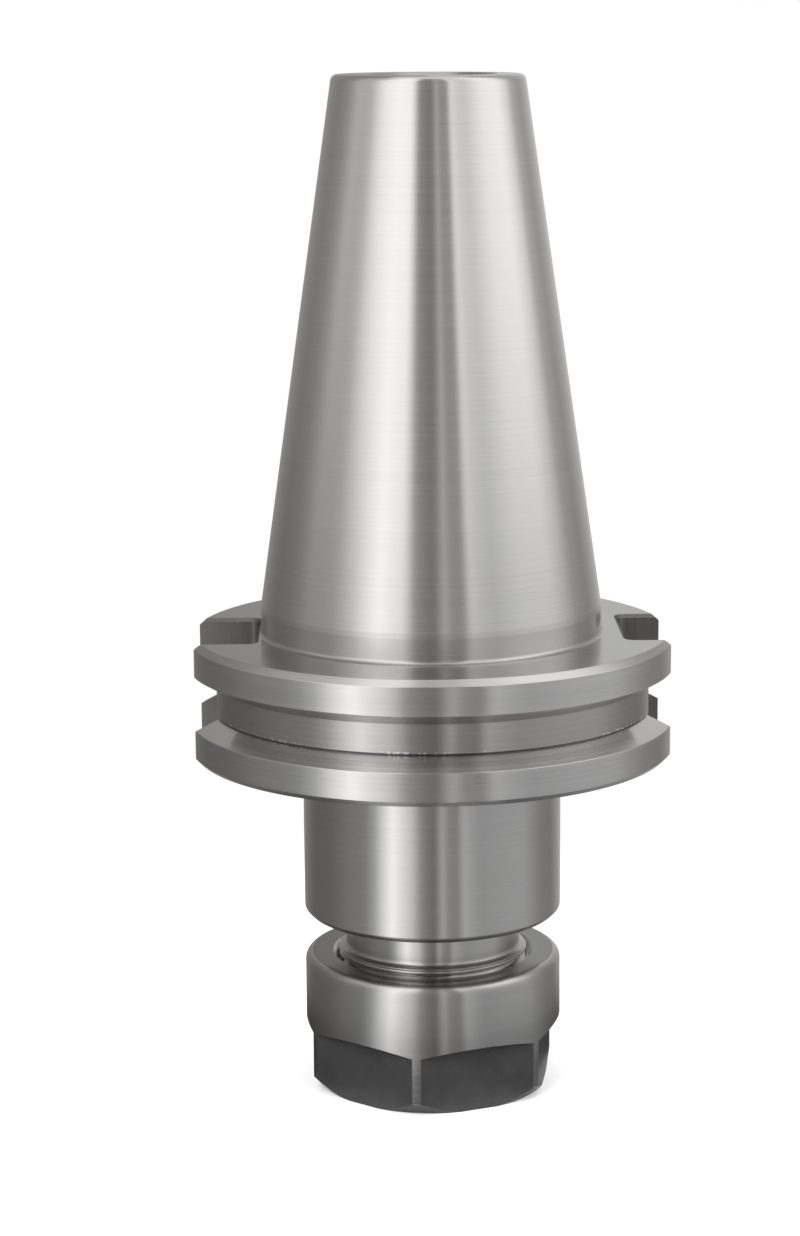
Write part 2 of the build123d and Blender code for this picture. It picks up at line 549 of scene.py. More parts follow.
HOLDER_FINISHES = {
    HolderZone.TAPER: GROUND_TAPER,
    HolderZone.FLANGE: TURNED_FLANGE,
    HolderZone.GROOVE: GROOVE_STEEL,
    HolderZone.SLOTS: MILLED_SLOT_PAINTED_SHADE,
    HolderZone.BODY: TURNED_BODY,
    HolderZone.BORES: BORED_STEEL,
    HolderZone.LOWER_FLANK: GROOVE_FLANK_PAINTED_LIGHT,
    HolderZone.UPPER_FACE: FLANGE_FACE,
}
NUT_FINISHES = {NutZone.BRIGHT: NUT_STEEL, NutZone.BLACK: NUT_BLACK, NutZone.TOP: NUT_TOP_PAINTED_SHADE}


# Surfaces


@dataclass(frozen=True)
class Corner:
    """One corner of an outline that is turned: radius, height and rounding in millimetres."""

    radius: float
    height: float
    rounding: float = 0.12


@dataclass(frozen=True)
class Outline:
    """A closed half section beside the axis, with its corners rounded."""

    corners: tuple[Corner, ...]
    degrees_per_step: float = 11.0

    GUARD_OF_ROUNDING = 0.35
    GUARD_OF_SIDE = 0.2

    def points(self) -> np.ndarray:
        """Round every corner with an arc tangent to both sides.

        An arc of radius q at a corner that turns by t starts q * tan(t / 2) before the corner
        and ends as far after it. Its points are centre + (sin((1 - k) t) s + sin(k t) e) / sin t
        for k from 0 to 1, where s and e point from the centre to its ends. One more point just
        outside each end keeps the shading of the straight sides flat.

        Returns:
            Radius and height of each point, anticlockwise.
        """
        here = np.array([(c.radius, c.height) for c in self.corners])
        rounding = np.array([c.rounding for c in self.corners])
        incoming = here - np.roll(here, 1, axis=0)
        length_in = np.linalg.norm(incoming, axis=1)
        incoming /= length_in[:, None]
        outgoing, length_out = np.roll(incoming, -1, axis=0), np.roll(length_in, -1)
        turn = np.arccos(np.clip((incoming * outgoing).sum(axis=1), -1, 1))
        reach = rounding * np.tan(turn / 2)
        shorter = np.minimum(length_in, length_out)
        guard = np.minimum(self.GUARD_OF_ROUNDING * rounding, self.GUARD_OF_SIDE * shorter)
        middle = (outgoing - incoming) / np.linalg.norm(outgoing - incoming, axis=1)[:, None]
        centre = here + middle * (rounding / np.cos(turn / 2))[:, None]
        pieces = []
        for i, angle in enumerate(turn):
            start = here[i] - incoming[i] * reach[i]
            end = here[i] + outgoing[i] * reach[i]
            steps = max(2, ceil(np.degrees(angle) / self.degrees_per_step))
            k = np.linspace(0, 1, steps + 1)[:, None]
            to_start, to_end = start - centre[i], end - centre[i]
            spread = np.sin((1 - k) * angle) * to_start + np.sin(k * angle) * to_end
            pieces.append(start - incoming[i] * guard[i])
            pieces.extend(centre[i] + spread / np.sin(angle))
            pieces.append(end + outgoing[i] * guard[i])
        points = np.array(pieces)
        r, z = points.T
        area = (r * np.roll(z, -1) - np.roll(r, -1) * z).sum()
        return points if area > 0 else points[::-1]


def grid_faces(rows: int, columns: int, close_rows: bool, close_columns: bool) -> np.ndarray:
    """Number the quads of a grid of points.

    Args:
        rows: points along the first way.
        columns: points along the second way.
        close_rows: join the last row to the first.
        close_columns: join the last column to the first.

    Returns:
        Four point numbers for each quad.
    """
    i = np.arange(rows if close_rows else rows - 1)[:, None]
    j = np.arange(columns if close_columns else columns - 1)[None, :]
    above, beside = (i + 1) % rows, (j + 1) % columns
    corners = (i * columns + j, i * columns + beside, above * columns + beside, above * columns + j)
    return np.stack([np.broadcast_to(c, (i.size, j.size)) for c in corners], axis=-1).reshape(-1, 4)


def mesh_of(name: str, points: np.ndarray, faces: list[list[int]]) -> bpy.types.Mesh:
    """Put points, in millimetres, and faces into a mesh in metres.

    Args:
        name: the mesh's name.
        points: one row of x, y and z for each point.
        faces: the point numbers of each face.

    Returns:
        The mesh.
    """
    mesh = bpy.data.meshes.new(name)
    mesh.from_pydata(points * MM, [], faces)
    mesh.update()
    return mesh


def turned_mesh(name: str, outline: Outline, segments: int) -> bpy.types.Mesh:
    """Turn an outline about the axis: x = r cos a, y = r sin a, z = z, for a all the way round.

    Args:
        name: the mesh's name.
        outline: the closed half section.
        segments: steps round the axis.

    Returns:
        A closed mesh with its faces outwards.
    """
    radius, height = outline.points().T
    angle = np.linspace(0, 2 * pi, segments, endpoint=False)
    x = radius[:, None] * np.cos(angle)
    y = radius[:, None] * np.sin(angle)
    z = np.broadcast_to(height[:, None], x.shape)
    points = np.stack([x, y, z], axis=-1).reshape(-1, 3)
    return mesh_of(name, points, grid_faces(radius.size, segments, True, True).tolist())


def loft_mesh(name: str, rings: np.ndarray) -> bpy.types.Mesh:
    """Join a row of rings, each with as many points, and close it with a flat face at each end.

    Args:
        name: the mesh's name.
        rings: x, y and z of each ring's points, anticlockwise as seen against the row.

    Returns:
        A closed mesh with its faces outwards.
    """
    row, count = rings.shape[:2]
    sides = grid_faces(row, count, False, True).tolist()
    ends = [list(range(count))[::-1], list(range((row - 1) * count, row * count))]
    return mesh_of(name, rings.reshape(-1, 3), sides + ends)


@dataclass(frozen=True)
class HelicalRidge:
    """A thread's ridge that winds up a wall, right-handed, and runs out at both ends.

    wall_radius is where the ridge stands, crest_radius where it ends, crest_width and
    base_width its widths there. It starts at start_angle, in degrees. Its ends keep least_share
    of its height, and its foot is sunk a little into the wall.
    """

    name: str
    wall_radius: float
    crest_radius: float
    crest_width: float
    base_width: float
    pitch: float
    bottom: float
    top: float
    start_angle: float = 0.0
    steps_per_turn: int = 96
    run_in_turns: float = 0.3
    run_out_turns: float = 0.3
    least_share: float = 0.02
    sunk: float = 0.03

    def mesh(self) -> bpy.types.Mesh:
        """Carry the ridge's four-cornered section along the helix.

        After the turn a the section's middle is at height bottom + pitch * a / (2 pi), and its
        crest stands out by the ridge's height times the least of 1, the turns from the start
        over the run-in, and the turns to the end over the run-out, but at least by least_share.

        Returns:
            A closed mesh with its faces outwards.
        """
        turns = (self.top - self.bottom) / self.pitch
        angle = np.linspace(0, 2 * pi * turns, int(turns * self.steps_per_turn))
        from_end = np.minimum(angle / self.run_in_turns, (angle[-1] - angle) / self.run_out_turns)
        grown = np.clip(from_end / (2 * pi), self.least_share, 1)
        outward = 1 if self.crest_radius > self.wall_radius else -1
        base = self.wall_radius - outward * self.sunk
        crest = self.wall_radius + (self.crest_radius - self.wall_radius) * grown
        width = self.base_width + (self.crest_width - self.base_width) * grown
        level = self.bottom + self.pitch * angle / (2 * pi)
        bearing = angle + radians(self.start_angle)
        radius = np.stack([np.full_like(angle, base), crest, crest, np.full_like(angle, base)], axis=1)
        lift = np.stack([-self.base_width * grown, -width, width, self.base_width * grown], axis=1) / 2
        x, y = (radius * f(bearing)[:, None] for f in (np.cos, np.sin))
        rings = np.stack([x, y, level[:, None] + lift], axis=-1)
        return loft_mesh(self.name, rings[:, ::-outward])


def piece_of(mesh: bpy.types.Mesh) -> bpy.types.Object:
    """Make a mesh an object at the origin, linked to the scene.

    Args:
        mesh: the mesh, which gives the object its name.

    Returns:
        The object.
    """
    piece = bpy.data.objects.new(mesh.name, mesh)
    bpy.context.scene.collection.objects.link(piece)
    return piece


def cut(blank: bpy.types.Mesh, cutters: list[bpy.types.Mesh]) -> bpy.types.Mesh:
    """Cut closed meshes out of a closed blank.

    Args:
        blank: the mesh to cut.
        cutters: the meshes that are taken out of it.

    Returns:
        The mesh that is left. The blank and the cutters are used up.
    """
    work = piece_of(blank)
    tools = [piece_of(cutter) for cutter in cutters]
    for tool in tools:
        step = work.modifiers.new(tool.name, "BOOLEAN")
        step.operation = "DIFFERENCE"
        step.solver = "EXACT"
        step.object = tool
    left = bpy.data.meshes.new_from_object(work.evaluated_get(bpy.context.evaluated_depsgraph_get()))
    left.name = blank.name
    for used in (work, *tools):
        spent = used.data
        bpy.data.objects.remove(used)
        bpy.data.meshes.remove(spent)
    return left


def shade_with_edges(mesh: bpy.types.Mesh, sharpest: float = 18.0) -> None:
    """Shade a mesh smoothly but for its sharp edges.

    Args:
        mesh: the mesh.
        sharpest: the turn in degrees above which an edge stays sharp.
    """
    mesh.polygons.foreach_set("use_smooth", np.ones(len(mesh.polygons), dtype=bool))
    mesh.set_sharp_from_angle(angle=radians(sharpest))
    mesh.update()


class FacePlaces:
    """Where the middle of each of a mesh's faces lies, in millimetres, and which way it looks.

    outward and upright are the shares of its normal away from the axis and along it.
    """

    LEAST_RADIUS = 0.01

    def __init__(self, mesh: bpy.types.Mesh) -> None:
        """Read the faces' middles and normals.

        Args:
            mesh: the mesh, which isn't kept.
        """
        middle, normal = (np.empty(3 * len(mesh.polygons)) for _ in range(2))
        mesh.polygons.foreach_get("center", middle)
        mesh.polygons.foreach_get("normal", normal)
        self.x, self.y, self.height = middle.reshape(-1, 3).T / MM
        self.radius = np.hypot(self.x, self.y)
        normal_x, normal_y, self.upright = normal.reshape(-1, 3).T
        away = normal_x * self.x + normal_y * self.y
        self.outward = away / np.maximum(self.radius, self.LEAST_RADIUS)


def dress(mesh: bpy.types.Mesh, finishes: list[bpy.types.Material], choice: np.ndarray) -> None:
    """Give a mesh its materials and choose one for each face.

    Args:
        mesh: the mesh.
        finishes: the materials.
        choice: the number of each face's material.
    """
    mesh.materials.clear()
    for finish in finishes:
        mesh.materials.append(finish)
    mesh.polygons.foreach_set("material_index", choice.astype(np.int32))
    mesh.update()


# Sub-assemblies


@dataclass
class TaperHolder:
    """Shank turned from one bar: taper, V-grooved flange, body, neck and threaded nose.

    The nose's thread ends at thread_end_bearing, in degrees. thread_margins are its distances
    from the nose's end and the land, knob_thread_margins the other thread's from the hole's two
    floors. root_ring is a low ring in the nose's last groove: how far it stands out, and where
    its top and its foot are below the groove's start. The capitals are shares of a face's normal
    along the axis, which tell level, flank, broken and upright faces apart, and the share of it
    that a turned face at least has away from the axis.
    """

    LEVEL_SHARE = 0.99
    FLANK_SHARE = 0.8
    BREAK_SHARE = 0.4
    WALL_SHARE = 0.1
    TURNED_SHARE = 0.999

    gauge_radius: float = 22.225
    taper_length: float = 68.25
    taper_rate: float = 7 / 24
    flange_radius: float = 31.75
    flange_face: float = -3.175
    flange_back: float = -19.05
    flange_top_break: float = 0.8
    flange_back_break: float = 0.7
    groove_middle: float = -11.15
    groove_mouth: float = 7.1
    groove_depth: float = 2.75
    groove_flank_angle: float = 30.0
    corner_line: float = 0.2
    slot_width: float = 16.38
    slot_floors: tuple[float, float] = (25.0, -22.6)
    slot_corner: float = 1.2
    slot_corner_points: int = 7
    slot_break: float = 0.45
    taper_clearance: float = 0.15
    overcut: float = 1.0
    body_radius: float = 17.0
    shoulder: float = -41.0
    shoulder_break: float = 0.65
    neck_radius: float = 11.5
    flare_top: float = -45.65
    flare_radius: float = 12.25
    flare_bottom: float = -46.0
    land_radius: float = 12.5
    land_top: float = -46.14
    land_bottom: float = -46.45
    root_radius: float = 11.58
    root_ring: tuple[float, float, float] = (0.25, 0.42, 0.67)
    thread_flank_angle: float = 30.0
    thread_end_bearing: float = -79.4
    thread_margins: tuple[float, float] = (0.9, 0.05)
    thread_crest_gap: float = 0.02
    thread_run_out: float = 0.06
    nose_end: float = -57.25
    nose_chamfer: float = 0.8
    thread_pitch: float = 1.5
    socket_mouth_radius: float = 10.4
    socket_top_radius: float = 6.7
    socket_top: float = -30.921
    shank_bore_top: float = -14.921
    through_radius: float = 5.0
    knob_floor: float = 39.85
    knob_radius: float = 6.7
    pilot_floor: float = 63.45
    pilot_radius: float = 8.15
    pilot_chamfer: float = 0.6
    drill_point_half_angle: float = 59.0
    knob_threads_per_inch: float = 11.0
    knob_thread_depth: float = 0.25
    knob_thread_widths: tuple[float, float] = (0.3, 1.3)
    knob_thread_margins: tuple[float, float] = (3.0, 1.5)
    segments: int = 288

    def outline(self) -> Outline:
        """List the corners down the outside and up the bores.

        Returns:
            The half section.
        """
        small_end = self.gauge_radius - self.taper_rate / 2 * self.taper_length
        floor_radius = self.flange_radius - self.groove_depth
        flank = self.groove_depth * tan(radians(self.groove_flank_angle))
        mouth_top = self.groove_middle + self.groove_mouth / 2
        mouth_bottom = self.groove_middle - self.groove_mouth / 2
        thread_depth = self.land_radius - self.root_radius
        root_top = self.land_bottom - thread_depth * tan(radians(self.thread_flank_angle))
        ring_height, ring_top, ring_foot = self.root_ring
        point_slope = tan(radians(self.drill_point_half_angle))
        shank_point = (self.socket_top_radius - self.through_radius) / point_slope
        knob_point = (self.knob_radius - self.through_radius) / point_slope
        return Outline(
            (
                Corner(self.pilot_radius + self.pilot_chamfer, self.taper_length, 0.08),
                Corner(small_end, self.taper_length, 0.9),
                Corner(self.gauge_radius, 0, 0.3),
                Corner(self.gauge_radius, self.flange_face, 0.5),
                Corner(self.flange_radius - self.flange_top_break, self.flange_face),
                Corner(self.flange_radius, self.flange_face - self.flange_top_break),
                Corner(self.flange_radius, mouth_top),
                Corner(floor_radius, mouth_top - flank, 0.05),
                Corner(floor_radius, mouth_bottom + flank + self.corner_line, 0.02),
                Corner(floor_radius - self.corner_line, mouth_bottom + flank, 0.02),
                Corner(self.flange_radius, mouth_bottom),
                Corner(self.flange_radius, self.flange_back + self.flange_back_break),
                Corner(self.flange_radius - self.flange_back_break, self.flange_back),
                Corner(self.body_radius, self.flange_back, 0.8),
                Corner(self.body_radius, self.shoulder + self.shoulder_break, 0.5),
                Corner(self.body_radius - self.shoulder_break, self.shoulder, 0.3),
                Corner(self.neck_radius, self.shoulder, 0.4),
                Corner(self.neck_radius, self.flare_top, 0.7),
                Corner(self.flare_radius, self.flare_bottom, 0.05),
                Corner(self.flare_radius - 0.12, self.flare_bottom - 0.1, 0.02),
                Corner(self.land_radius, self.land_top, 0.18),
                Corner(self.land_radius, self.land_bottom, 0.06),
                Corner(self.root_radius, root_top, 0.04),
                Corner(self.root_radius + ring_height, root_top - ring_top, 0.05),
                Corner(self.root_radius, root_top - ring_foot, 0.05),
                Corner(self.root_radius, self.nose_end + self.nose_chamfer, 0.1),
                Corner(self.root_radius - self.nose_chamfer, self.nose_end, 0.05),
                Corner(self.socket_mouth_radius, self.nose_end, 0.05),
                Corner(self.socket_top_radius, self.socket_top, 0.2),
                Corner(self.socket_top_radius, self.shank_bore_top, 0.1),
                Corner(self.through_radius, self.shank_bore_top + shank_point, 0.1),
                Corner(self.through_radius, self.knob_floor - knob_point, 0.1),
                Corner(self.knob_radius, self.knob_floor, 0.1),
                Corner(self.knob_radius, self.pilot_floor, 0.1),
                Corner(self.pilot_radius, self.pilot_floor, 0.1),
                Corner(self.pilot_radius, self.taper_length - self.pilot_chamfer, 0.05),
            )
        )

    def slot_cutter(self, floor: float) -> bpy.types.Mesh:
        """Make the block that one drive slot takes out of the flange, and its edge breaks.

        The section is the slot's width with its two inner upright corners rounded. Four rings
        carry it up the axis: it is grown by the edge break and the overcut at the outer two,
        which lie an overcut beyond the flange's faces, and has its own size an edge break inside
        them. Towards the axis it grows by a smaller share where the taper stands close.

        Args:
            floor: place of the slot's flat floor on X, negative on the far side.

        Returns:
            A closed block.
        """
        side, bend = np.sign(floor), np.linspace(0, pi / 2, self.slot_corner_points)
        share = min(1, (abs(floor) - self.gauge_radius - self.taper_clearance) / self.slot_break)
        rings = []
        for level, grown in (
            (self.flange_back - self.overcut, self.slot_break + self.overcut),
            (self.flange_back + self.slot_break, 0.0),
            (self.flange_face - self.slot_break, 0.0),
            (self.flange_face + self.overcut, self.slot_break + self.overcut),
        ):
            outside, half = self.flange_radius + 2 * self.overcut, self.slot_width / 2 + grown
            inner_x = abs(floor) + self.slot_corner - (self.slot_corner + share * grown) * np.sin(bend)
            inner_y = half - (self.slot_corner + grown) * (1 - np.cos(bend))
            x = np.concatenate([[outside], inner_x, inner_x[::-1], [outside]])
            y = np.concatenate([[half], inner_y, -inner_y[::-1], [-half]])
            rings.append(np.stack([side * x, side * y, np.full_like(x, level)], axis=1))
        return loft_mesh("slot_cutter", np.array(rings))

    def thread(self) -> HelicalRidge:
        """Size the nose's thread, which winds up from the nose's end and into the land.

        Returns:
            The ridge.
        """
        depth = self.land_radius - self.root_radius
        crest = self.thread_pitch / 8
        bottom = self.nose_end + self.thread_margins[0]
        top = self.land_bottom - self.thread_margins[1]
        return HelicalRidge(
            name="nose_thread",
            wall_radius=self.root_radius,
            crest_radius=self.land_radius - self.thread_crest_gap,
            crest_width=crest,
            base_width=crest + 2 * depth * tan(radians(self.thread_flank_angle)),
            pitch=self.thread_pitch,
            bottom=bottom,
            top=top,
            start_angle=self.thread_end_bearing - 360 * (top - bottom) / self.thread_pitch,
            run_out_turns=self.thread_run_out,
        )

    def knob_thread(self) -> HelicalRidge:
        """Size the ridge of the retention knob's thread inside the small end.

        Returns:
            The ridge.
        """
        crest_width, base_width = self.knob_thread_widths
        return HelicalRidge(
            name="knob_thread",
            wall_radius=self.knob_radius,
            crest_radius=self.knob_radius - self.knob_thread_depth,
            crest_width=crest_width,
            base_width=base_width,
            pitch=INCH / self.knob_threads_per_inch,
            bottom=self.knob_floor + self.knob_thread_margins[0],
            top=self.pilot_floor - self.knob_thread_margins[1],
        )

    def zones(self, mesh: bpy.types.Mesh) -> np.ndarray:
        """Choose each face's finish from where its middle lies.

        Args:
            mesh: the holder's mesh.

        Returns:
            The HolderZone of each face.
        """
        faces = FacePlaces(mesh)
        radius, height, upright = faces.radius, faces.height, np.abs(faces.upright)
        hair, near = 0.01, 0.05
        above = height > self.flange_face + hair
        in_flange = ~above & (height > self.flange_back - hair)
        choice = np.where(above, HolderZone.TAPER, HolderZone.BODY)
        choice[in_flange & (radius > self.gauge_radius - self.slot_break - near)] = HolderZone.FLANGE
        floor_radius = self.flange_radius - self.groove_depth
        groove = np.abs(height - self.groove_middle) < self.groove_mouth / 2 - near
        groove &= in_flange & (radius > floor_radius - self.corner_line)
        choice[groove] = HolderZone.GROOVE
        # The lower flank gets the lighter steel, painted light.
        flank = groove & (faces.upright > self.FLANK_SHARE) & (radius > floor_radius + near)
        choice[flank] = HolderZone.LOWER_FLANK
        level = faces.upright > self.LEVEL_SHARE
        choice[(choice == HolderZone.FLANGE) & level] = HolderZone.UPPER_FACE
        break_width = self.slot_break + near
        floor = np.where(faces.x > 0, self.slot_floors[0], -self.slot_floors[1])
        off_floor = np.abs(faces.x) - floor
        off_side = np.abs(faces.y) - self.slot_width / 2
        near_side = np.abs(off_side) < break_width
        near_floor = (np.abs(off_floor) < break_width) & (off_side < break_width)
        off_edge = np.minimum(self.flange_face - height, height - self.flange_back)
        wall = upright < self.WALL_SHARE
        broken = (upright > self.BREAK_SHARE) & (upright < self.FLANK_SHARE)
        broken &= off_edge < self.slot_break
        inside = (off_floor > -break_width) & (off_side < break_width)
        inside &= (near_side | near_floor) & (radius < self.flange_radius - 2 * hair)
        turned = np.abs(faces.outward) > self.TURNED_SHARE * np.sqrt(1 - upright**2)
        # The slot walls get the dark steel, painted shade.
        choice[in_flange & inside & ~(turned & ~near_floor) & (wall | broken)] = HolderZone.SLOTS
        bore = np.interp(
            height,
            [self.nose_end, self.socket_top, self.pilot_floor, self.taper_length],
            [
                self.socket_mouth_radius,
                self.socket_top_radius,
                self.pilot_radius,
                self.pilot_radius + self.pilot_chamfer,
            ],
        )
        choice[radius < bore + near] = HolderZone.BORES
        return choice

    def build(self) -> list[bpy.types.Object]:
        """Turn the blank, cut the slots, dress it, add the threads and put it on its body.

        Returns:
            The pieces.
        """
        blank = turned_mesh("holder_shank", self.outline(), self.segments)
        shank = cut(blank, [self.slot_cutter(floor) for floor in self.slot_floors])
        finishes = [HOLDER_FINISHES[zone].make() for zone in HolderZone]
        dress(shank, finishes, self.zones(shank))
        shade_with_edges(shank)
        body = piece_of(shank)
        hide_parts(Node.HOLDER.value)
        threads = [piece_of(ridge.mesh()) for ridge in (self.thread(), self.knob_thread())]
        for thread, zone in zip(threads, (HolderZone.BODY, HolderZone.BORES)):
            thread.data.materials.append(finishes[zone])
            shade_with_edges(thread.data)
        pieces = [body, *threads]
        for piece in pieces:
            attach(piece, Body.HOLDER.value)
            LOG.info("holder piece %s, %d faces", piece.name, len(piece.data.polygons))
        return pieces


@dataclass
class ClampingNut:
    """Hex clamping nut: bright turned outside, flats and front left black, thread inside.

    strip_margin is how far each flat's cut stops short of the hexagon's corners. bright_edge is
    the width of the upper face's bright rim, inside which the face has painted shade, and
    thread_margins are the thread's distances from its relief and the upper face.
    """

    radius: float = 17.0
    face: float = -64.521
    length: float = 17.8
    edge_round: float = 1.15
    front_chamfer: float = 1.8
    half_across_flats: float = 15.0
    flat_length: float = 7.95
    run_out_angle: float = 30.0
    flat_count: int = 6
    turned_by: float = 21.2
    strip_margin: float = 0.06
    bright_edge: float = 1.0
    opening_radius: float = 8.5
    opening_chamfer: float = 0.3
    seat_radius: float = 10.069
    seat_front: float = -63.709
    seat_back: float = -60.991
    lip_front: float = -59.921
    lip_back: float = -58.621
    lip_radius: float = 9.25
    chamber_radius: float = 10.9
    chamber_back: float = -58.321
    relief_radius: float = 12.8
    relief_back: float = -55.85
    thread_major_radius: float = 12.6
    thread_minor_radius: float = 11.66
    countersink_radius: float = 13.3
    thread_pitch: float = 1.5
    thread_flank_angle: float = 30.0
    thread_start_bearing: float = 88.6
    thread_crest_width: float = 0.18
    thread_margins: tuple[float, float] = (0.3, 1.2)
    overcut: float = 1.0
    segments: int = 288

    @property
    def back(self) -> float:
        """Height of the nut's upper face."""
        return self.face + self.length

    def outline(self) -> Outline:
        """List the corners up the outside and down the inside.

        Returns:
            The half section.
        """
        countersink = self.countersink_radius - self.thread_major_radius
        return Outline(
            (
                Corner(self.opening_radius + self.opening_chamfer, self.face, 0.05),
                Corner(self.radius - self.front_chamfer, self.face),
                Corner(self.radius, self.face + self.front_chamfer),
                Corner(self.radius, self.back, self.edge_round),
                Corner(self.countersink_radius, self.back, 0.08),
                Corner(self.thread_major_radius, self.back - countersink, 0.05),
                Corner(self.thread_major_radius, self.relief_back, 0.05),
                Corner(self.relief_radius, self.relief_back, 0.05),
                Corner(self.relief_radius, self.chamber_back, 0.1),
                Corner(self.chamber_radius, self.chamber_back, 0.05),
                Corner(self.chamber_radius, self.lip_back, 0.05),
                Corner(self.lip_radius, self.lip_back, 0.1),
                Corner(self.lip_radius, self.lip_front, 0.1),
                Corner(self.seat_radius, self.lip_front, 0.05),
                Corner(self.seat_radius, self.seat_back, 0.1),
                Corner(self.opening_radius, self.seat_front, 0.1),
                Corner(self.opening_radius, self.face + self.opening_chamfer, 0.05),
            )
        )

    def flat_cutter(self, angle: float) -> bpy.types.Mesh:
        """Make the block that one spanner flat takes off, with its sloping run-out.

        Args:
            angle: direction that the flat faces, in degrees.

        Returns:
            A closed block, narrower than a side of the hexagon.
        """
        flat, outside = self.half_across_flats, self.radius + 2 * self.overcut
        top = self.face + self.flat_length
        slope = tan(radians(self.run_out_angle))
        low = self.face - self.overcut
        across = np.array([flat, outside, outside, flat])
        up = np.array([low, low, top + (outside - flat) * slope, top])
        facing = np.array([cos(radians(angle)), sin(radians(angle)), 0.0])
        along = np.array([-facing[1], facing[0], 0.0])
        section = (across[:, None] * facing + up[:, None] * np.array([0.0, 0.0, 1.0]))[::-1]
        sweep = along * 2 * (flat * tan(pi / self.flat_count) - self.strip_margin)
        return loft_mesh("flat_cutter", np.stack([section - sweep / 2, section + sweep / 2]))

    def thread(self) -> HelicalRidge:
        """Size the nut's thread, half a pitch from the nose's ridge and 0.08 mm clear of it.

        Returns:
            The ridge.
        """
        depth = self.thread_major_radius - self.thread_minor_radius
        crest = self.thread_crest_width
        return HelicalRidge(
            name="nut_thread",
            wall_radius=self.thread_major_radius,
            crest_radius=self.thread_minor_radius,
            crest_width=crest,
            base_width=crest + 2 * depth * tan(radians(self.thread_flank_angle)),
            pitch=self.thread_pitch,
            bottom=self.relief_back + self.thread_margins[0],
            top=self.back - self.thread_margins[1],
            start_angle=self.thread_start_bearing,
        )

    def zones(self, mesh: bpy.types.Mesh) -> np.ndarray:
        """Choose each face's finish from where its middle lies.

        The flats, their run-outs, the front chamfer and the front face are black. They lie
        below the run-outs' tops and inside the turned cylinder. The upper face has painted shade,
        a darker steel, between the bore and the bright rounded edge.

        Args:
            mesh: the nut's mesh.

        Returns:
            The NutZone of each face.
        """
        faces = FacePlaces(mesh)
        radius, height = faces.radius, faces.height
        hair, near = 0.03, 0.1
        below = height < self.back - self.edge_round - 2 * near
        outer = radius > self.countersink_radius
        on_cylinder = (radius > self.radius - hair) & (height > self.face + self.front_chamfer)
        front = height < self.face + self.front_chamfer
        black = (below & outer & ~on_cylinder) | (front & (radius > self.opening_radius + near))
        # Painted shade: the upper face inside the rim gets the darker steel.
        upper = outer & (radius < self.radius - self.bright_edge)
        upper &= np.abs(height - self.back) < hair
        return np.where(black, NutZone.BLACK, np.where(upper, NutZone.TOP, NutZone.BRIGHT))

    def build(self) -> list[bpy.types.Object]:
        """Turn the nut, cut its flats, dress it, add its thread and put it on its body.

        Returns:
            The pieces.
        """
        blank = turned_mesh("hex_clamping_nut", self.outline(), self.segments)
        step = 360 / self.flat_count
        angles = [self.turned_by + step * (i + 0.5) for i in range(self.flat_count)]
        nut = cut(blank, [self.flat_cutter(angle) for angle in angles])
        finishes = [NUT_FINISHES[zone].make() for zone in NutZone]
        dress(nut, finishes, self.zones(nut))
        shade_with_edges(nut)
        shell = piece_of(nut)
        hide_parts(Node.NUT.value)
        thread = piece_of(self.thread().mesh())
        thread.data.materials.append(finishes[NutZone.BRIGHT])
        shade_with_edges(thread.data)
        for piece in (shell, thread):
            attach(piece, Body.NUT.value)
            LOG.info("nut piece %s, %d faces", piece.name, len(piece.data.polygons))
        return [shell, thread]


@dataclass
class SpringCollet:
    """Spring collet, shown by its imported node, whose shape is complete."""

    def build(self, nodes: dict[str, bpy.types.Object]) -> list[bpy.types.Object]:
        """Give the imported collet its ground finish.

        Args:
            nodes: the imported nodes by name.

        Returns:
            The pieces.
        """
        collet = nodes[Node.COLLET.value]
        collet.data.materials.clear()
        collet.data.materials.append(COLLET_STEEL.make())
        LOG.info("collet node %s, %d faces", collet.name, len(collet.data.polygons))
        return [collet]


# Studio


@dataclass(frozen=True)
class Panel:
    """One stop of the tent's cloth: its direction and its brightness low down and high up.

    bearing is in degrees, 0 at the camera and positive to its right.
    """

    bearing: float
    low: float
    high: float
    tint: Tone = (1.0, 1.0, 1.0)


@dataclass(frozen=True)
class Lamp:
    """A square soft lamp that points at the gauge line's middle: its place, width and power.

    bearing is counted as a panel's is, and distance is level, from the axis.
    """

    name: str
    bearing: float
    height: float
    distance: float
    width: float
    power: float


COOL = (0.985, 0.99, 1.0)
WARM = (1.0, 0.985, 0.96)
ROSE = (1.0, 0.965, 0.97)


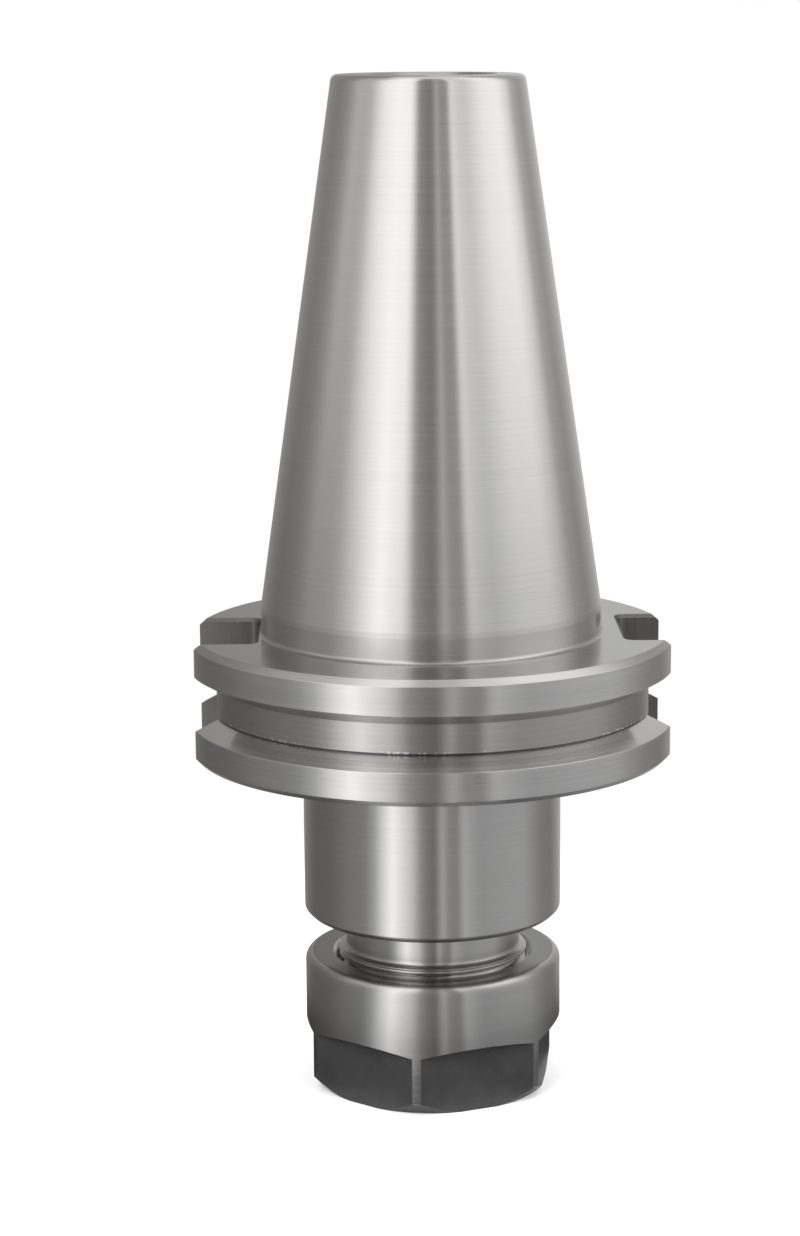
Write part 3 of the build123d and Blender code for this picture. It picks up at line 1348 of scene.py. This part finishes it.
@dataclass
class Studio:
    """Pale floor, light tent, lamps, white surroundings and the camera."""

    floor_height: float
    camera_bearing: float = -91.4
    camera_distance: float = 391.1
    camera_height: float = 76.7
    camera_tilt: float = 12.13
    camera_roll: float = 0.30
    focal_pixels: float = 3047.7
    picture_width: int = 800
    picture_height: int = 1236
    axis_column: float = 431.3
    horizon_row: float = 660.0
    sensor: float = 36.0
    tent_radius: float = 115.0
    foot_radius: float = 18.0
    foot_shade: float = 0.25
    foot_fade: tuple[float, float] = (28.0, 52.0)
    ramp_heights: tuple[float, float] = (-48.0, 75.0)
    sweep_height: float = 34.0
    sweep_rows: int = 25
    tent_lift: float = 0.3
    tent_top: float = 330.0
    tent_columns: int = 361
    floor_rings: tuple[float, ...] = (1.0, 60.0, 200.0, 600.0, 3000.0)
    floor_segments: int = 96
    floor_tone: Tone = (0.86, 0.86, 0.86)
    floor_roughness: float = 0.9
    floor_fade: tuple[float, float] = (45.5, 130.0)
    world_light: float = 0.55
    lamps: tuple[Lamp, ...] = (
        Lamp("key_lamp", bearing=-38, height=320, distance=480, width=360, power=5.0),
        Lamp("fill_lamp", bearing=62, height=260, distance=520, width=420, power=4.0),
        Lamp("top_lamp", bearing=150, height=620, distance=160, width=520, power=5.0),
    )
    panels: tuple[Panel, ...] = (
        Panel(-180, 0.40, 0.46, WARM),
        Panel(-158, 0.30, 0.34, WARM),
        Panel(-120, 0.16, 0.30, WARM),
        Panel(-104, 0.17, 0.36, WARM),
        Panel(-94, 0.18, 0.48, WARM),
        Panel(-84, 0.21, 0.66),
        Panel(-72, 0.26, 0.62),
        Panel(-64, 0.27, 0.72),
        Panel(-56, 0.31, 1.08, COOL),
        Panel(-48, 0.52, 1.34, COOL),
        Panel(-41, 1.02, 1.42, COOL),
        Panel(-32, 1.55, 1.50, COOL),
        Panel(-25, 1.18, 1.47, COOL),
        Panel(-18, 0.92, 1.46, COOL),
        Panel(-14, 0.70, 0.95),
        Panel(-10, 0.42, 0.38, ROSE),
        Panel(-5, 0.30, 0.32, ROSE),
        Panel(2, 0.21, 0.26, ROSE),
        Panel(6, 0.46, 0.36),
        Panel(8.5, 0.60, 0.64),
        Panel(12, 0.38, 0.40, ROSE),
        Panel(20, 0.31, 0.38, ROSE),
        Panel(23, 0.46, 1.00),
        Panel(25.5, 0.60, 1.14, COOL),
        Panel(30, 0.52, 0.97, COOL),
        Panel(40, 0.42, 0.90, COOL),
        Panel(60, 0.46, 1.30, COOL),
        Panel(82, 0.48, 1.42, COOL),
        Panel(96, 0.35, 1.08),
        Panel(106, 0.29, 0.62),
        Panel(122, 0.26, 0.45, WARM),
        Panel(160, 0.56, 0.66),
    )

    def make_camera(self) -> None:
        """Set the camera: in the bearing's plane, looking at the axis and tilted down."""
        bearing, tilt = radians(self.camera_bearing), radians(self.camera_tilt)
        outward = Vector((cos(bearing), sin(bearing), 0.0))
        forward = Vector((-outward.x * cos(tilt), -outward.y * cos(tilt), -sin(tilt)))
        right = Vector((-outward.y, outward.x, 0.0))
        up = right.cross(forward)
        data = bpy.data.cameras.new("camera")
        data.sensor_width = self.sensor
        data.lens = self.focal_pixels * self.sensor / self.picture_height
        data.shift_x = (self.picture_width / 2 - self.axis_column) / self.picture_height
        data.shift_y = (self.horizon_row - self.picture_height / 2) / self.picture_height
        data.clip_start = 0.01
        camera = bpy.data.objects.new("camera", data)
        place = outward * self.camera_distance * MM
        place.z = self.camera_height * MM
        aim = Matrix((right, up, -forward)).transposed().to_4x4()
        roll = Matrix.Rotation(radians(-self.camera_roll), 4, "Z")
        camera.matrix_world = Matrix.Translation(place) @ aim @ roll
        bpy.context.scene.collection.objects.link(camera)
        bpy.context.scene.camera = camera

    def background(self, graph: Graph) -> Shade:
        """Tell the rays that show the background: from the camera, gloss and glass.

        Args:
            graph: the nodes of the material or world.

        Returns:
            1 for such a ray and 0 for others.
        """
        seen = [
            graph.node("ShaderNodeLightPath", output=name)
            for name in ("Is Camera Ray", "Is Glossy Ray", "Is Transmission Ray")
        ]
        return (seen[0] + seen[1] + seen[2]).math("MINIMUM", 1.0)

    def make_world(self) -> None:
        """Set the surroundings: white where they are seen, softer where they light."""
        world = bpy.data.worlds.new("surroundings")
        graph = Graph(world)
        strength = self.world_light + self.background(graph) * (1 - self.world_light)
        graph.surface("ShaderNodeBackground", {"Color": (1.0, 1.0, 1.0, 1.0), "Strength": strength})
        bpy.context.scene.world = world

    def make_floor(self) -> None:
        """Lay the pale floor: it takes the shadow near the holder and fades to white further off."""
        angle = np.linspace(0, 2 * pi, self.floor_segments, endpoint=False)
        reach = np.array(self.floor_rings)
        x, y = (reach[:, None] * f(angle) for f in (np.cos, np.sin))
        z = np.full_like(x, self.floor_height)
        points = np.stack([x, y, z], axis=-1).reshape(-1, 3)
        faces = grid_faces(reach.size, angle.size, False, True)[:, ::-1].tolist()
        faces.append(list(range(angle.size)))
        floor = piece_of(mesh_of("floor", points, faces))
        material = bpy.data.materials.new("pale_floor")
        graph = Graph(material)
        at = SpindleCoordinates(graph)
        matte = graph.node(
            "ShaderNodeBsdfPrincipled",
            {},
            {"Base Color": (*self.floor_tone, 1.0), "Roughness": self.floor_roughness},
        )
        white = graph.node("ShaderNodeEmission", {}, {"Color": (1.0, 1.0, 1.0, 1.0), "Strength": 1.0})
        far = at.radius.step(*(radius * MM for radius in self.floor_fade))
        graph.surface("ShaderNodeMixShader", {0: far * self.background(graph), 1: matte, 2: white})
        floor.data.materials.append(material)

    def make_tent(self) -> None:
        """Stand the light tent round the holder: cloth that only gloss shows.

        The cloth's section sweeps from its foot ring out and up into the wall: at the angle q
        from 0 to 90 degrees its radius is foot + (wall - foot) sin q and its height
        floor + sweep (1 - cos q), and the wall goes straight up from there. Round the tent the
        share u runs from the bearing -180 to 180 degrees, and (u, height share) is the UV map.
        The whole tent is lifted a little, clear of the floor.
        """
        u = np.linspace(0, 1, self.tent_columns)
        bearing = radians(self.camera_bearing) + 2 * pi * u - pi
        q = np.linspace(0, pi / 2, self.sweep_rows)
        swept = self.foot_radius + (self.tent_radius - self.foot_radius) * np.sin(q)
        radius = np.concatenate([swept, [self.tent_radius]])
        height = self.floor_height + self.tent_lift + self.sweep_height * (1 - np.cos(q))
        height = np.append(height, self.tent_top)
        x, y = (radius[:, None] * f(bearing) for f in (np.cos, np.sin))
        z = np.broadcast_to(height[:, None], x.shape)
        mesh = mesh_of(
            "light_tent",
            np.stack([x, y, z], axis=-1).reshape(-1, 3),
            grid_faces(radius.size, u.size, False, False)[:, ::-1].tolist(),
        )
        corner = np.empty(len(mesh.loops), dtype=np.int32)
        mesh.loops.foreach_get("vertex_index", corner)
        v = (height - self.floor_height) / (self.tent_top - self.floor_height)
        grid = np.stack(np.meshgrid(u, v), axis=-1).reshape(-1, 2)
        mesh.uv_layers.new(name="cloth").data.foreach_set("uv", grid[corner].ravel())
        tent = piece_of(mesh)
        tent.data.materials.append(self.tent_cloth())
        tent.visible_camera = False
        tent.visible_diffuse = False
        tent.visible_shadow = False
        tent.visible_transmission = False

    def tent_cloth(self) -> bpy.types.Material:
        """Make the cloth: one ramp round the tent low down, another high up, and a dark foot.

        Returns:
            The material.
        """
        brightest = max(max(panel.low, panel.high) for panel in self.panels)
        material = bpy.data.materials.new("tent_cloth")
        graph = Graph(material)
        uv = graph.node("ShaderNodeTexCoord", output="UV")
        u = graph.node("ShaderNodeSeparateXYZ", {}, {0: uv})
        low, high = (
            graph.node("ShaderNodeValToRGB", {"stops": self.stops(level, brightest)}, {"Fac": u})
            for level in ("low", "high")
        )
        at = SpindleCoordinates(graph)
        cloth = graph.mix(at.z.step(*(height * MM for height in self.ramp_heights)), low, high)
        lit = at.radius.step(*(radius * MM for radius in self.foot_fade))
        foot = self.foot_shade + lit * (1 - self.foot_shade)
        graph.surface("ShaderNodeEmission", {"Color": cloth, "Strength": foot * brightest})
        return material

    def stops(self, level: str, brightest: float) -> list[tuple[float, Tone]]:
        """List the stops of one of the cloth's two ramps.

        Args:
            level: low or high.
            brightest: the brightness that a ramp's white stands for.

        Returns:
            Positions from 0 to 1 with their colours.
        """
        return [
            (
                (panel.bearing + 180) / 360,
                tuple(getattr(panel, level) / brightest * part for part in panel.tint),
            )
            for panel in self.panels
        ]

    def make_lamps(self) -> None:
        """Hang the soft lamps: a key at the front left, a fill at the right and one overhead."""
        for lamp in self.lamps:
            data = bpy.data.lights.new(lamp.name, "AREA")
            data.size = lamp.width * MM
            data.energy = lamp.power
            light = bpy.data.objects.new(lamp.name, data)
            direction = radians(self.camera_bearing + lamp.bearing)
            x, y = lamp.distance * cos(direction), lamp.distance * sin(direction)
            light.location = Vector((x, y, lamp.height)) * MM
            light.rotation_euler = (-light.location).to_track_quat("-Z", "Y").to_euler()
            light.visible_glossy = False
            bpy.context.scene.collection.objects.link(light)

    def build(self) -> None:
        """Set up the whole studio."""
        self.make_camera()
        self.make_world()
        self.make_floor()
        self.make_tent()
        self.make_lamps()
        bpy.context.scene.view_settings.view_transform = "Standard"


def main() -> None:
    """Load the frame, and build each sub-assembly and the studio."""
    logging.basicConfig(level=logging.INFO, format="%(name)s: %(message)s")
    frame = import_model()
    holder = TaperHolder()
    pieces = holder.build()
    nut = ClampingNut()
    pieces += nut.build()
    pieces += SpringCollet().build(frame["nodes"])
    LOG.info("%d pieces dressed", len(pieces))
    Studio(floor_height=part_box(Node.NUT.value)[0].z / MM).build()


if __name__ == "__main__":
    main()
